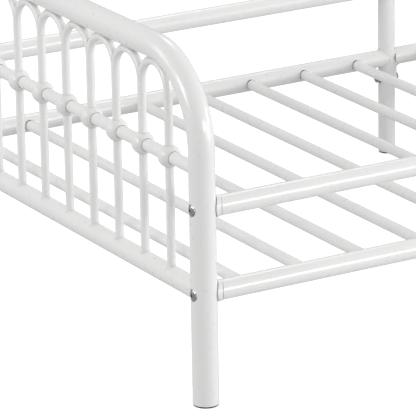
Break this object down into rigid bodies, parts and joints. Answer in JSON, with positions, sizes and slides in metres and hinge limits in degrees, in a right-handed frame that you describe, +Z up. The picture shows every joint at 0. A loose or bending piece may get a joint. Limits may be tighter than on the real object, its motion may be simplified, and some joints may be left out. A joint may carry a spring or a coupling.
{
  "type": "daybed",
  "caption": "Open round-tube metal daybed with two arched spindle end panels, low front and back rails and a slatted deck.",
  "frame": {"origin": "on the floor, in the middle of the bed's footprint", "axes": "+X along the bed towards the bolted half, +Y from the front to the back, +Z up"},
  "size_m": [2.0474, 1.0438, 0.6004],
  "materials": {
    "white_coat": "gloss white powder coat",
    "white_casting": "gloss white powder coat over a cast surface",
    "white_plastic": "smooth moulded plastic",
    "zinc": "bright zinc plate",
    "black_plastic": "fine moulded texture"
  },
  "bodies": {
    "root": {"back_centre_glide": "black_plastic", "back_centre_leg": "white_coat", "back_left_glide": "black_plastic", "back_left_lower_rail": "white_coat", "back_left_upper_rail": "white_coat", "back_lower_joint_plate": "white_coat", "back_right_glide": "black_plastic", "back_right_lower_rail": "white_coat", "back_right_upper_rail": "white_coat", "back_upper_joint_plate": "white_coat", "front_centre_glide": "black_plastic", "front_centre_leg": "white_coat", "front_left_glide": "black_plastic", "front_left_lower_rail": "white_coat", "front_left_upper_rail": "white_coat", "front_lower_joint_plate": "white_coat", "front_right_glide": "black_plastic", "front_right_lower_rail": "white_coat", "front_right_upper_rail": "white_coat", "front_upper_joint_plate": "white_coat", "joint_bolts": "zinc", "joint_nuts": "zinc", "joint_washers": "zinc", "left_arches": "white_coat", "left_arm_tube": "white_coat", "left_ball_castings": "white_casting", "left_lower_spindles": "white_coat", "left_panel_bottom_rail": "white_coat", "left_panel_mid_rail": "white_coat", "left_slat_1": "white_coat", "left_slat_2": "white_coat", "left_slat_3": "white_coat", "left_slat_4": "white_coat", "left_slat_5": "white_coat", "left_slat_6": "white_coat", "left_slat_7": "white_coat", "left_slat_8": "white_coat", "left_upper_spindles": "white_coat", "leg_caps": "white_plastic", "post_bolts": "zinc", "post_spacers": "white_plastic", "rail_end_plugs": "zinc", "right_arches": "white_coat", "right_arm_tube": "white_coat", "right_ball_castings": "white_casting", "right_lower_spindles": "white_coat", "right_panel_bottom_rail": "white_coat", "right_panel_mid_rail": "white_coat", "right_slat_1": "white_coat", "right_slat_2": "white_coat", "right_slat_3": "white_coat", "right_slat_4": "white_coat", "right_slat_5": "white_coat", "right_slat_6": "white_coat", "right_slat_7": "white_coat", "right_slat_8": "white_coat", "right_upper_spindles": "white_coat", "slat_end_plugs": "black_plastic"}
  },
  "joints": []
}
